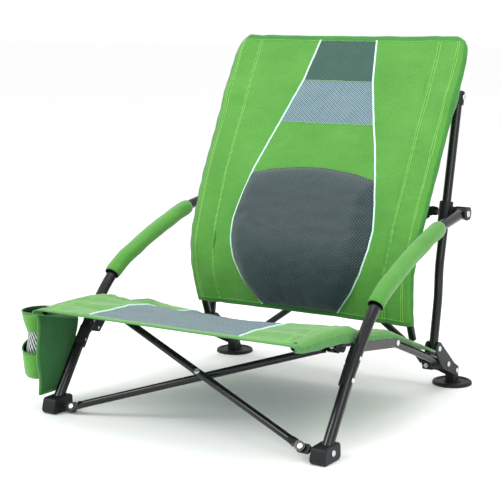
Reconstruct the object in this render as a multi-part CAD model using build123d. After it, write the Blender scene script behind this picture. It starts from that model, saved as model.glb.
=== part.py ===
"""Low folding camp chair: two side frames joined by crossed braces front and rear."""
import math
import os

from build123d import *

# Overall sizes, millimetres
POST_X = 282.5          # side plane of the rear posts and seat rails
BACK_TUBE_X = POST_X - 25.0     # side plane of the back tubes
LINK_X = POST_X + 13.5          # middle of the flat side links
LEG_X = POST_X + 30.0           # side plane of the front legs and arms
SEAT_FRONT_Y = -66.0    # front edge of the seat
SEAT_REAR_Y = 446.0     # rear edge of the seat
BACK_TOP_Z = 735.0      # top of the back tubes

# Tubes
POST_R = 9.5
RAIL_R = 8.0
BACK_TUBE_R = 8.0
LEG_R = 11.0
BRACE_R = 7.5
WALL = 1.2
SLEEVE_R = 17.0         # padded arm sleeve
SLIDE_GAP = 0.05        # running clearance of pins and sliders
FIT_GAP = 0.05          # clearance of assembled parts

# Pivots in side view (y, z)
POST_PIVOT = (525.0, 100.0)
ARM_PIVOT = (585.293, 382.627)
LINK_LEG = (152.42, 179.455)
LINK_RAIL = (318.387, 154.938)
FOOT_PIN = (620.0, 32.0)
FRONT_LOW = (-6.804, 19.18)
FRONT_HIGH = (131.038, 181.819)
REAR_LOW = (597.247, 42.077)
REAR_HIGH = (591.771, 381.602)

# Brace pivots across the chair
FRONT_LOW_X = POST_X - 12.5
FRONT_HIGH_X = POST_X - 30.5
REAR_X = POST_X - 45.5

# Brace layers, measured along the outward normal of each brace plane
FRONT_AXIS = (-5.5, 10.5)
FRONT_TONGUE = (-7.75, 8.25)
REAR_AXIS = (10.5, 26.5)
REAR_TONGUE = (-2.5, 13.5)
TONGUE_T = 4.5
TONGUE_W = 18.0
LUG_GAP = 4.6

# Small parts
FOOT_DISC_R = 43.0
FOOT_DISC_T = 7.0
PIN_R = 3.0
SWIVEL_PIN_R = 2.5
HEAD_R = 6.0

LEG_PATH = [(-4, 10), (85, 138), (197, 266), (330, 322), (473, 367), (575.4, 381.0)]
POST_PATH = [(523.6, 92), (543.6, 206), (545.735, 270), (626, 632)]
RAIL_PATH = [(585, 51.9), (308, 159.9), (128, 197), (SEAT_FRONT_Y + 4, 222)]
BACK_PATH = [(474, 128), (438, 215), (433, 290), (497, 434), (665, BACK_TOP_Z)]
POST_DIR = (0.21647, 0.97629)


def side(x):
    """Plane across the chair at x, drawn in (y, z)."""
    return Plane(origin=(x, 0, 0), x_dir=(0, 1, 0), z_dir=(1, 0, 0))


def path(x, points, bend):
    return FilletPolyline(*[(x, y, z) for y, z in points], radius=bend)


def rod(x, points, radius, bend):
    line = path(x, points, bend)
    return sweep(Plane(origin=line @ 0, z_dir=line % 0) * Circle(radius), path=line)


def tube(x, points, radius, bend, wall=WALL):
    line = path(x, points, bend)
    ring = Circle(radius) - Circle(radius - wall)
    return sweep(Plane(origin=line @ 0, z_dir=line % 0) * ring, path=line)


def bar_x(x0, x1, point, radius):
    """Round bar along the chair's width."""
    return extrude(side(min(x0, x1)) * (Pos(point[0], point[1]) * Circle(radius)), amount=abs(x1 - x0))


def hull_plate(x0, x1, circles):
    """Flat plate whose outline is the hull of circles given as (y, z, radius)."""
    edges = []
    for y, z, r in circles:
        edges += (Pos(y, z) * Circle(r)).edges()
    return extrude(side(x0) * make_face(make_hull(edges)), amount=x1 - x0)


def dome_x(x, point, outward, radius=HEAD_R, height=2.6):
    """Low domed head standing on the plane at x."""
    face = Plane(origin=(x, point[0], point[1]), z_dir=(outward, 0, 0))
    disc = extrude(face * Circle(radius), amount=height)
    top = disc.faces().sort_by(Axis.X)[-1 if outward > 0 else 0]
    return fillet(top.edges(), height * 0.75)


def rivet_x(x0, x1, point, radius=PIN_R):
    """Pin with a domed head at each end, heads outside x0..x1."""
    shank = bar_x(x0, x1, point, radius)
    return shank + dome_x(x0, point, -1) + dome_x(x1, point, 1)


def both(solid):
    """The right-hand piece and its mirror image."""
    return {"r": solid, "l": mirror(solid, about=Plane.YZ)}


def brace_frame(low, high):
    """Unit vectors along a brace plane in side view and its outward normal."""
    length = math.hypot(high[0] - low[0], high[1] - low[1])
    along = ((high[0] - low[0]) / length, (high[1] - low[1]) / length)
    return along, (-along[1], along[0]), length


FRONT_ALONG, FRONT_NORMAL, FRONT_SPAN = brace_frame(FRONT_LOW, FRONT_HIGH)
REAR_ALONG, REAR_BACK, REAR_SPAN = brace_frame(REAR_LOW, REAR_HIGH)
REAR_NORMAL = (-REAR_BACK[0], -REAR_BACK[1])


def brace_plane(origin, normal, offset):
    """Plane with x across the chair, standing off along the brace normal."""
    return Plane(
        origin=(0, origin[0] + normal[0] * offset, origin[1] + normal[1] * offset),
        x_dir=(1, 0, 0),
        z_dir=(0, normal[0], normal[1]),
    )


def brace_bar(origin, normal, axis, tongue, start, end):
    """Tube with a flattened tongue at each end, between two points of a brace plane."""
    dx = end[0] - start[0]
    dy = end[1] - start[1]
    length = math.hypot(dx, dy)
    ux = dx / length
    uy = dy / length
    base = brace_plane(origin, normal, 0)
    shift = tongue + TONGUE_T / 2

    def local(distance, height):
        return base.from_local_coords((start[0] + ux * distance, start[1] + uy * distance, height))

    along = (base.from_local_coords((ux, uy, 0)) - base.origin).normalized()
    up = base.z_dir
    ends = ((0.0, 1.0), (length, -1.0))
    crimp = 16.0 + 1.3 * abs(axis - shift)
    plane = Plane(origin=local(14 + crimp, axis), x_dir=up, z_dir=along)
    ring = Circle(BRACE_R) - Circle(BRACE_R - WALL)
    bar = extrude(plane * ring, amount=length - 2 * (14 + crimp))
    for distance, sign in ends:
        wide = Plane(origin=local(distance + sign * (14 + crimp), axis), x_dir=up, z_dir=along * sign * -1)
        flat = Plane(origin=local(distance + sign * 14, shift), x_dir=up, z_dir=along * sign * -1)
        crimped = loft([wide * Circle(BRACE_R), flat * RectangleRounded(TONGUE_T, TONGUE_W, 1.5)])
        face = Plane(origin=local(distance + sign * 2.75, tongue), x_dir=along, z_dir=up)
        blade = extrude(face * SlotOverall(23.5, TONGUE_W), amount=TONGUE_T)
        hole = Plane(origin=local(distance, tongue - 1), z_dir=up) * Circle(PIN_R + SLIDE_GAP)
        bar += crimped + (blade - extrude(hole, amount=TONGUE_T + 2))
    return bar


def brace_pin(origin, normal, x, along, low, high, head_low, head_high):
    """Bolt along a brace normal with a head on either or both ends."""
    plane = brace_plane(origin, normal, low)
    pin = extrude(plane * (Pos(x, along) * Circle(PIN_R)), amount=high - low)
    if head_high:
        face = brace_plane(origin, normal, high) * (Pos(x, along) * Circle(HEAD_R))
        head = extrude(face, amount=3.0)
        rim = head.edges().filter_by(GeomType.CIRCLE).sort_by(Axis((0, 0, 0), (0, *normal)))[-1]
        pin += fillet(rim, 2.0)
    if head_low:
        face = brace_plane(origin, normal, low - 2.6) * (Pos(x, along) * RegularPolygon(5.4, 6))
        pin += extrude(face, amount=2.6)
    return pin


def swivel(sign, origin, normal, x, tongue, ear_x):
    """Angle bracket that carries a brace tongue and turns on a cross pin at its origin."""
    back = tongue - 0.25
    plate_plane = brace_plane(origin, normal, back - 4)
    inner = x - TONGUE_W / 2 - 0.5
    outer = ear_x + 4.5
    middle = sign * (inner + outer) / 2
    plate = extrude(plate_plane * (Pos(middle, 0) * RectangleRounded(outer - inner, 18, 3)), amount=4)
    low = min(-6.5, back - 4)
    high = max(6.5, back)
    ear_plane = brace_plane(origin, normal, low)
    ear_box = extrude(ear_plane * (Pos(sign * (ear_x + 2.25), 0) * Rectangle(4.5, 15)), amount=high - low)
    bracket = plate + ear_box
    bracket -= bar_x(sign * (ear_x - 1), sign * (outer + 1), origin, SWIVEL_PIN_R + SLIDE_GAP)
    bolt = brace_pin(origin, normal, sign * x, 0, back - 4.1, tongue + TONGUE_T + 0.1, True, True)
    bracket -= extrude(
        brace_plane(origin, normal, back - 5) * (Pos(sign * x, 0) * Circle(PIN_R + FIT_GAP)), amount=6
    )
    return bracket, bolt


def lug(sign, origin, normal, x, face, thick, root_x, root):
    """Block whose flat face meets a brace tongue, with an arm to its own frame member."""
    plane = brace_plane(origin, normal, face - thick)
    block = extrude(plane * (Pos(sign * (x + 4), 0) * RectangleRounded(26, 18, 5)), amount=thick)
    depth = face - thick / 2 - 1.3
    start = Vector(sign * (x + 12), origin[0] + normal[0] * depth, origin[1] + normal[1] * depth)
    stop = Vector(sign * root_x, root[0], root[1])
    arm = extrude(Plane(origin=start, z_dir=stop - start) * Circle(thick / 2 + 1),
                  amount=(stop - start).length)
    return block + arm


parts = {}


def keep(name, solid):
    parts[name] = solid


# ---------------------------------------------------------------- rear posts
post = tube(POST_X, POST_PATH, POST_R, 200)
post_pin_cut = bar_x(POST_X - 30, POST_X + 30, POST_PIVOT, PIN_R + SLIDE_GAP)
cap_rivet_at = (POST_PATH[-1][0] - 8 * POST_DIR[0], POST_PATH[-1][1] - 8 * POST_DIR[1])
cap_rivet = rivet_x(POST_X - 12.6, POST_X + 12.6, cap_rivet_at)
cap_cut = bar_x(POST_X - 30, POST_X + 30, cap_rivet_at, PIN_R + FIT_GAP)
post = post - post_pin_cut - cap_cut

# Cap: closed socket on the post with an arm to the back tube
top_y, top_z = POST_PATH[-1]
cap_plane = Plane(
    origin=(POST_X, top_y - 24 * POST_DIR[0], top_z - 24 * POST_DIR[1]),
    z_dir=(0, POST_DIR[0], POST_DIR[1]),
)
cap = fillet(extrude(cap_plane * Circle(POST_R + 3.1), amount=29).faces().sort_by(Axis.Z)[-1].edges(), 2.5)
grip = (600.0, 618.5)
grip_line = (0.4877, 0.8730)
grip_plane = Plane(
    origin=(BACK_TUBE_X, grip[0] - 13 * grip_line[0], grip[1] - 13 * grip_line[1]),
    z_dir=(0, *grip_line),
)
grip_ring = extrude(grip_plane * Circle(BACK_TUBE_R + 2.6), amount=26)
arm_start = Vector(BACK_TUBE_X + 5, grip[0] + 2, grip[1])
arm_stop = Vector(POST_X - 4, top_y - 10 * POST_DIR[0] - 5, top_z - 10 * POST_DIR[1])
cap_arm = extrude(Plane(origin=arm_start, z_dir=arm_stop - arm_start) * Circle(7), amount=(arm_stop - arm_start).length)
back_rod = rod(BACK_TUBE_X, BACK_PATH, BACK_TUBE_R + FIT_GAP, 150)
socket = extrude(
    Plane(origin=cap_plane.origin - cap_plane.z_dir, z_dir=cap_plane.z_dir) * Circle(POST_R + FIT_GAP),
    amount=25.1,
)
cap = cap + grip_ring + cap_arm - back_rod - socket - cap_cut
cap -= bar_x(POST_X - 17, POST_X - 12.55, cap_rivet_at, HEAD_R + 0.1)
cap -= bar_x(BACK_TUBE_X - 14, BACK_TUBE_X + 14, grip, 2.0 + FIT_GAP)
grip_heads = dome_x(BACK_TUBE_X - 10.7, grip, -1, 5, 2.2)
grip_rivet = bar_x(BACK_TUBE_X - 10.7, BACK_TUBE_X + 9.5, grip, 2.0) + grip_heads

back_tube = tube(BACK_TUBE_X, BACK_PATH, BACK_TUBE_R, 150)
back_tube -= bar_x(BACK_TUBE_X - 14, BACK_TUBE_X + 14, grip, 2.0 + FIT_GAP)

plugs = None
for (y0, z0), (y1, z1) in ((BACK_PATH[1], BACK_PATH[0]), (BACK_PATH[-2], BACK_PATH[-1])):
    run = Vector(0, y1 - y0, z1 - z0).normalized()
    stem = Plane(origin=Vector(BACK_TUBE_X, y1, z1) - run * 12, z_dir=run)
    flange = Plane(origin=(BACK_TUBE_X, y1, z1), z_dir=run)
    dome = extrude(flange * Circle(BACK_TUBE_R), amount=3.5)
    rim = dome.edges().filter_by(GeomType.CIRCLE).sort_by(Axis((0, 0, 0), tuple(run)))[-1]
    plug = extrude(stem * Circle(BACK_TUBE_R - WALL - FIT_GAP), amount=12) + fillet(rim, 2.4)
    plugs = plug if plugs is None else Compound(children=[plugs, plug])

for s, solid in both(post).items():
    keep(f"rear_post_{s}", solid)
for s, solid in both(cap).items():
    keep(f"post_cap_{s}", solid)
for s, solid in both(back_tube).items():
    keep(f"back_tube_{s}", solid)
for s, solid in both(plugs).items():
    keep(f"back_tube_plugs_{s}", solid)
for s, solid in both(Compound(children=[cap_rivet, grip_rivet])).items():
    keep(f"cap_rivets_{s}", solid)

# ---------------------------------------------------------------- arm sliders
mid = (571.455, 386.0)
half = 22.0
slide_plane = Plane(
    origin=(POST_X, mid[0] - half * POST_DIR[0], mid[1] - half * POST_DIR[1]),
    z_dir=(0, POST_DIR[0], POST_DIR[1]),
)
barrel = extrude(slide_plane * Circle(POST_R + 5), amount=2 * half)
barrel = fillet(barrel.edges().filter_by(GeomType.CIRCLE), 1.6)
bore = Plane(origin=slide_plane.origin - slide_plane.z_dir * 5, z_dir=slide_plane.z_dir)
bore_cut = extrude(bore * Circle(POST_R + SLIDE_GAP), amount=2 * half + 10)
ear_in = hull_plate(LEG_X - 15.7, LEG_X - 11.4, [(*ARM_PIVOT, 13), (*mid, 12)])
ear_out = hull_plate(LEG_X + 11.6, LEG_X + 15.0, [(*ARM_PIVOT, 14), (ARM_PIVOT[0] + 8, ARM_PIVOT[1], 11)])
ring_outer = Pos(*ARM_PIVOT) * (Circle(18) - Circle(12.0))
half_space = Pos(ARM_PIVOT[0] + 14, ARM_PIVOT[1]) * Rectangle(22, 26)
ear_back = extrude(side(LEG_X - 15.7) * (ring_outer & half_space), amount=30.7)
ear_cut = bar_x(LEG_X - 20, LEG_X + 20, ARM_PIVOT, 4 + FIT_GAP)
arm_bolt = bar_x(LEG_X - 15.6, LEG_X + 15.1, ARM_PIVOT, 4.0) + dome_x(LEG_X + 15.1, ARM_PIVOT, 1, 7, 3.2)

for s, sign, layer in (("r", 1, 1), ("l", -1, 0)):
    block = barrel + ear_in + ear_out + ear_back - ear_cut
    block = block if sign > 0 else mirror(block, about=Plane.YZ)
    face = REAR_TONGUE[layer] - LUG_GAP
    block += lug(sign, REAR_HIGH, REAR_NORMAL, REAR_X, face, 5.0, POST_X - 2, mid)
    block -= bore_cut if sign > 0 else mirror(bore_cut, about=Plane.YZ)
    keep(f"arm_slider_{s}", block)
for s, solid in both(arm_bolt).items():
    keep(f"arm_bolt_{s}", solid)

# ---------------------------------------------------------------- legs and arms
leg = tube(LEG_X, LEG_PATH, LEG_R, 300, 1.4)
leg_rod = rod(LEG_X, LEG_PATH, LEG_R + FIT_GAP, 300)
arm_dir = Vector(0, LEG_PATH[-1][0] - LEG_PATH[-2][0], LEG_PATH[-1][1] - LEG_PATH[-2][1]).normalized()
spigot = Plane(origin=Vector(LEG_X, *LEG_PATH[-1]) - arm_dir * 18, z_dir=arm_dir)
arm_end = bar_x(LEG_X - LEG_R, LEG_X + LEG_R, ARM_PIVOT, LEG_R)
arm_end -= leg_rod
arm_end += extrude(spigot * Circle(LEG_R - 1.4 - FIT_GAP), amount=22)
arm_end -= bar_x(LEG_X - 20, LEG_X + 20, ARM_PIVOT, 4 + SLIDE_GAP)

cup = hull_plate(LEG_X - 18, LEG_X + 15, [(-20, 9, 9), (24, 9, 9), (-17, 24, 8), (24, 25, 8)])
cup = fillet(cup.faces().filter_by(Axis.X).edges(), 3.0)
cup = cup - leg_rod
foot_rivet_at = (2.0, 18.6)
foot_rivet = bar_x(LEG_X - 14.6, LEG_X + 15.1, foot_rivet_at, PIN_R) + dome_x(LEG_X + 15.1, foot_rivet_at, 1)
foot_cut = bar_x(LEG_X - 14.7, LEG_X + 30, foot_rivet_at, PIN_R + FIT_GAP)
cup = cup - foot_cut

bracket_low = (97.0, 151.7)
bracket_high = (128.0, 187.1)
run = Vector(0, bracket_high[0] - bracket_low[0], bracket_high[1] - bracket_low[1])
bracket = extrude(Plane(origin=(LEG_X, *bracket_low), z_dir=run) * Circle(LEG_R + 3.4), amount=run.length)
shin = Vector(0, LEG_PATH[1][0] - LEG_PATH[0][0], LEG_PATH[1][1] - LEG_PATH[0][1]).normalized()
bracket += extrude(Plane(origin=(LEG_X, 74.5, 122.9), z_dir=shin) * Circle(LEG_R + 3.4), amount=40)
bracket -= Pos(LEG_X + 15, 110, 160) * Box(27, 140, 140)
bracket += hull_plate(LEG_X - 13.2, LEG_X - 8.5, [(108, 160, 12), (124, 182, 10), (*LINK_LEG, 10.5), (127, 151, 8.5)])
bracket -= leg_rod
link_pin_cut = bar_x(LINK_X - 8, LEG_X, LINK_LEG, PIN_R + FIT_GAP)
bracket -= link_pin_cut
lower_at = (127.0, 151.0)
lower_rivet = dome_x(LEG_X - 8.5, lower_at, 1) + bar_x(LEG_X - 13.2, LEG_X - 8.5, lower_at, PIN_R)
bracket -= bar_x(LEG_X - 14, LEG_X, lower_at, PIN_R + FIT_GAP)
leg_screws = None
screw_cuts = None
for at in ((112.0, 168.9), (82.5, 134.4)):
    screw = dome_x(LEG_X + LEG_R, at, 1, 5.0, 2.4) + bar_x(LEG_X - 13.2, LEG_X + LEG_R, at, PIN_R)
    cut = bar_x(LEG_X - 15, LEG_X + 30, at, PIN_R + FIT_GAP)
    leg_screws = screw if leg_screws is None else Compound(children=[leg_screws, screw])
    screw_cuts = cut if screw_cuts is None else screw_cuts + cut
bracket -= screw_cuts
link_pin = bar_x(LINK_X - 3.2, LEG_X - 8.5, LINK_LEG, PIN_R) + dome_x(LEG_X - 8.5, LINK_LEG, 1)
leg = leg - foot_cut - screw_cuts

sleeve_line = path(LEG_X, LEG_PATH, 300)
sleeve_face = Plane(origin=sleeve_line @ 0, z_dir=sleeve_line % 0) * (Circle(SLEEVE_R) - Circle(LEG_R + 0.4))
sleeve = sweep(sleeve_face, path=sleeve_line)
sleeve = split(sleeve, bisect_by=Plane(origin=(LEG_X, 189, 256), z_dir=(0, 0.66, 0.75)), keep=Keep.TOP)
sleeve = split(sleeve, bisect_by=Plane(origin=(LEG_X, 473, 367), z_dir=(0, -0.97, -0.24)), keep=Keep.TOP)

for s, sign, layer in (("r", 1, 1), ("l", -1, 0)):
    foot = cup if sign > 0 else mirror(cup, about=Plane.YZ)
    face = FRONT_TONGUE[layer] - 0.25
    block = lug(sign, FRONT_LOW, FRONT_NORMAL, FRONT_LOW_X, face, 6.0, LEG_X - 12, (0, 17))
    inner_rod = leg_rod if sign > 0 else mirror(leg_rod, about=Plane.YZ)
    floor_cut = Pos(0, 0, -20) * Box(900, 400, 40)
    pin_cut = foot_cut if sign > 0 else mirror(foot_cut, about=Plane.YZ)
    keep(f"front_foot_{s}", foot + block - inner_rod - floor_cut - pin_cut)
for s, solid in both(leg).items():
    keep(f"front_leg_{s}", solid)
for s, solid in both(arm_end).items():
    keep(f"arm_end_{s}", solid)
for s, solid in both(sleeve).items():
    keep(f"arm_sleeve_{s}", solid)
for s, solid in both(bracket).items():
    keep(f"leg_bracket_{s}", solid)
for s, solid in both(Compound(children=[foot_rivet, lower_rivet, leg_screws, link_pin])).items():
    keep(f"leg_rivets_{s}", solid)

# ---------------------------------------------------------------- side links
link = hull_plate(LINK_X - 3, LINK_X + 3, [(*LINK_LEG, 9), (*LINK_RAIL, 9)])
link -= bar_x(LINK_X - 5, LINK_X + 5, LINK_LEG, PIN_R + SLIDE_GAP)
link -= bar_x(LINK_X - 5, LINK_X + 5, LINK_RAIL, PIN_R + FIT_GAP)
link_rivet = bar_x(LINK_X - 2.9, LINK_X + 3, LINK_RAIL, PIN_R) + dome_x(LINK_X + 3, LINK_RAIL, 1, 6, 2.2)
for s, solid in both(link).items():
    keep(f"side_link_{s}", solid)
for s, solid in both(link_rivet).items():
    keep(f"link_rivet_{s}", solid)

# ---------------------------------------------------------------- seat rails and hubs
rail = tube(POST_X, RAIL_PATH, RAIL_R, 150)
rail_rod = rod(POST_X, RAIL_PATH, RAIL_R + FIT_GAP, 150)

hub_plates = None
for x0, x1 in ((POST_X - 14.1, POST_X - 10.1), (POST_X + 10.1, POST_X + 14.1)):
    plate = hull_plate(x0, x1, [(*POST_PIVOT, 14), (556, 64, 14), (606, 38, 11)])
    plate += hull_plate(x0, x1, [(580, 52, 12), (*FOOT_PIN, 11)])
    hub_plates = plate if hub_plates is None else hub_plates + plate
hub_mid = hull_plate(POST_X - 10.2, POST_X + 10.2, [(558, 63, 13), (597, 43, 10)])
rear_hub = hub_plates + hub_mid - rail_rod
hub_rivet_at = (573.0, 56.6)
post_pin = rivet_x(POST_X - 14.2, POST_X + 14.2, POST_PIVOT)
hub_rivet = rivet_x(POST_X - 14.2, POST_X + 14.2, hub_rivet_at)
foot_pin = rivet_x(POST_X - 14.2, POST_X + 14.2, FOOT_PIN)
hub_cuts = bar_x(POST_X - 20, POST_X + 20, POST_PIVOT, PIN_R + FIT_GAP)
hub_cuts += bar_x(POST_X - 20, POST_X + 20, hub_rivet_at, PIN_R + FIT_GAP)
hub_cuts += bar_x(POST_X - 20, POST_X + 20, FOOT_PIN, PIN_R + FIT_GAP)
rear_lug = bar_x(REAR_X + 17.7, POST_X - 12, REAR_LOW, 9)
rear_swivel_pin = bar_x(REAR_X + 9.6, POST_X - 14.2, REAR_LOW, SWIVEL_PIN_R)
rear_hub += rear_lug
rear_hub = rear_hub - hub_cuts - bar_x(REAR_X, POST_X - 14.2, REAR_LOW, SWIVEL_PIN_R + FIT_GAP)

hub_run = Vector(0, -180, 37.1).normalized()
hub_at = Vector(POST_X, 140, 194.5)
front_hub = extrude(Plane(origin=hub_at, z_dir=hub_run) * Circle(RAIL_R + 4.5), amount=40)
front_hub = fillet(front_hub.edges().filter_by(GeomType.CIRCLE), 2.0)
front_hub += hull_plate(POST_X - 15.2, POST_X - 5, [(*FRONT_HIGH, 10.5), (127, 196, 8), (136, 194, 8)])
front_hub -= rail_rod
front_hub -= bar_x(FRONT_HIGH_X, POST_X - 6, FRONT_HIGH, SWIVEL_PIN_R + FIT_GAP)
front_swivel_pin = bar_x(FRONT_HIGH_X + 10.6, POST_X - 6.1, FRONT_HIGH, SWIVEL_PIN_R)
hub_screw_at = (110.0, 200.3)
hub_screw = bar_x(POST_X - 12.6, POST_X + 12.4, hub_screw_at, 2.2) + dome_x(POST_X - 12.6, hub_screw_at, -1, 4.5, 2)
screw_cut = bar_x(POST_X - 20, POST_X + 20, hub_screw_at, 2.2 + FIT_GAP)
front_hub -= screw_cut
rail = rail - screw_cut - bar_x(POST_X - 20, POST_X + 20, hub_rivet_at, PIN_R + FIT_GAP)

for s, solid in both(rail).items():
    keep(f"seat_rail_{s}", solid)
for s, solid in both(rear_hub).items():
    keep(f"rear_hub_{s}", solid)
for s, solid in both(front_hub).items():
    keep(f"front_hub_{s}", solid)
pins = [post_pin, hub_rivet, foot_pin, rear_swivel_pin, front_swivel_pin, hub_screw]
for s, solid in both(Compound(children=pins)).items():
    keep(f"rail_pins_{s}", solid)

# ---------------------------------------------------------------- rear feet
foot_y = FOOT_PIN[0] + 8
disc = extrude(Pos(POST_X, foot_y, 0) * Circle(FOOT_DISC_R), amount=FOOT_DISC_T)
disc = fillet(disc.edges().filter_by(GeomType.CIRCLE).sort_by(Axis.Z)[-1], 4.0)
dish = Pos(POST_X, foot_y, FOOT_DISC_T - 1.6) * (Circle(FOOT_DISC_R - 9) - Circle(19))
disc -= extrude(dish, amount=4)
boss_x = 9.6
boss = hull_plate(POST_X - boss_x, POST_X + boss_x, [(*FOOT_PIN, 9.5), (foot_y - 6, 9, 8.5), (foot_y + 6, 9, 8.5)])
rear_foot = disc + boss - bar_x(POST_X - 20, POST_X + 20, FOOT_PIN, PIN_R + SLIDE_GAP)
for s, solid in both(rear_foot).items():
    keep(f"rear_foot_{s}", solid)

# ---------------------------------------------------------------- crossed braces
# Layer 0 hangs from the right-hand hubs, layer 1 from the left-hand hubs.
for layer, s, sign in ((0, "r", 1), (1, "l", -1)):
    start = (sign * FRONT_HIGH_X, FRONT_SPAN)
    end = (-sign * FRONT_LOW_X, 0)
    bar = brace_bar(FRONT_LOW, FRONT_NORMAL, FRONT_AXIS[layer], FRONT_TONGUE[layer], start, end)
    tongue = FRONT_TONGUE[layer]
    tip = brace_pin(FRONT_LOW, FRONT_NORMAL, end[0], end[1], tongue, tongue + TONGUE_T, False, True)
    if layer == 1:
        skin = FRONT_AXIS[1] + BRACE_R
        crossing = FRONT_SPAN * FRONT_LOW_X / (FRONT_LOW_X + FRONT_HIGH_X)
        stud = brace_pin(FRONT_LOW, FRONT_NORMAL, 0, crossing, FRONT_AXIS[1], skin, False, True)
        hole = brace_plane(FRONT_LOW, FRONT_NORMAL, FRONT_AXIS[1]) * (Pos(0, crossing) * Circle(PIN_R + FIT_GAP))
        bar -= extrude(hole, amount=BRACE_R + 5)
        tip = Compound(children=[tip, stud])
    keep(f"front_brace_{s}", bar)
    keep(f"front_brace_rivets_{s}", tip)
    bracket, bolt = swivel(sign, FRONT_HIGH, FRONT_NORMAL, FRONT_HIGH_X, tongue, FRONT_HIGH_X + 10.5)
    keep(f"front_swivel_{s}", bracket)
    keep(f"front_swivel_bolt_{s}", bolt)

    start = (sign * REAR_X, 0)
    end = (-sign * REAR_X, -REAR_SPAN)
    bar = brace_bar(REAR_LOW, REAR_NORMAL, REAR_AXIS[layer], REAR_TONGUE[layer], start, end)
    tongue = REAR_TONGUE[layer]
    tip = brace_pin(REAR_LOW, REAR_NORMAL, end[0], end[1], tongue, tongue + TONGUE_T, False, True)
    keep(f"rear_brace_{s}", bar)
    keep(f"rear_brace_rivets_{s}", tip)
    bracket, bolt = swivel(sign, REAR_LOW, REAR_NORMAL, REAR_X, tongue, REAR_X + 12.5)
    keep(f"rear_swivel_{s}", bracket)
    keep(f"rear_swivel_bolt_{s}", bolt)

# ---------------------------------------------------------------- fabric
def sheet_solid(points, low, high, half_width):
    """Slab that follows a side-view line, low..high off its upper or front side, across the chair."""
    line = path(0, points, 90)
    section = Pos(0, -(low + high) / 2) * Rectangle(2 * half_width, high - low)
    return sweep(Plane(origin=line @ 0, x_dir=(1, 0, 0), z_dir=line % 0) * section, path=line)


seat_line = [(SEAT_FRONT_Y, 222.4), (128, 197), (308, 159.9), (SEAT_REAR_Y, 106.0)]
seat = sheet_solid(seat_line, 15.0, 18.0, POST_X + 8)
keep("seat_fabric", seat)
back_line = [(471, 136), (438, 215), (433, 290), (497, 434), (668, 741)]
back = sheet_solid(back_line, 11.2, 14.2, BACK_TUBE_X + 14)
keep("back_fabric", back)
pad_line = [(452, 176), (438, 215), (433, 290), (489, 416)]
pad = sheet_solid(pad_line, 14.6, 28.0, 112)
keep("lumbar_pad", pad)
pocket_at = (-LEG_X - 59.5, -22.0)
pocket_r = 37.0
cup_wall = extrude(Pos(*pocket_at, 60) * Circle(pocket_r), amount=140)
cup_wall -= extrude(Pos(*pocket_at, 62) * Circle(pocket_r - 2), amount=140)
panel = Pos(-LEG_X - 22.7, 28, 123) * Box(2.4, 124, 158)
keep("side_pocket", cup_wall + panel)

os.makedirs("parts", exist_ok=True)
for name, solid in parts.items():
    export_step(solid, f"parts/{name}.step")
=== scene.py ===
import math

import bmesh
import bpy
import numpy as np
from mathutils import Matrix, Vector, noise


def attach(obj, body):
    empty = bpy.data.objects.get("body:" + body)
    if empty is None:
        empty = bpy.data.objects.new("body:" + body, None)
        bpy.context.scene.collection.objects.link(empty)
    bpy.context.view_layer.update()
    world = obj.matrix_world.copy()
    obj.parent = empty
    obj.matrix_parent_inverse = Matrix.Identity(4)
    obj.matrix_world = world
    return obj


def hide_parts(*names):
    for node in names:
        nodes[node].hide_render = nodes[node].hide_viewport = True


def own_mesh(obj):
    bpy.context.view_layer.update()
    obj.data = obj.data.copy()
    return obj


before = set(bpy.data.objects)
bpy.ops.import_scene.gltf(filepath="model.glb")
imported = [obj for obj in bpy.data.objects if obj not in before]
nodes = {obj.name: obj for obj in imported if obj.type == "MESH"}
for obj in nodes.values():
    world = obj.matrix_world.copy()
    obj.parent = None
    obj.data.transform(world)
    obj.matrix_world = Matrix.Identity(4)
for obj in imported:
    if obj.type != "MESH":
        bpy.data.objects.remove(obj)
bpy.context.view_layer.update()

# ------------------------------------------------------------------ sizes, metres
POST_X = 0.2825
BACK_X = 0.2575
LEG_X = 0.3125
RAIL_LINE = [(-0.083, 0.2245), (0.07, 0.2075), (0.128, 0.197), (0.308, 0.1599), (0.50, 0.0851)]
BACK_LINE = [(0.456, 0.160), (0.438, 0.215), (0.433, 0.290), (0.497, 0.434), (0.671, 0.746)]
ARM_LINE = [(0.085, 0.138), (0.197, 0.266), (0.330, 0.322), (0.473, 0.367), (0.5754, 0.381)]


# ------------------------------------------------------------------ colour helpers
def linear(r, g, b):
    """Screen colour 0-255 to a linear colour."""
    out = []
    for c in (r, g, b):
        c = c / 255
        out.append(c / 12.92 if c <= 0.04045 else ((c + 0.055) / 1.055) ** 2.4)
    return (*out, 1.0)


LEAF = linear(76, 142, 50)
LEAF_DARK = linear(54, 126, 46)
PALE_CORD = linear(205, 236, 226)
STITCH = linear(150, 215, 100)


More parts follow.
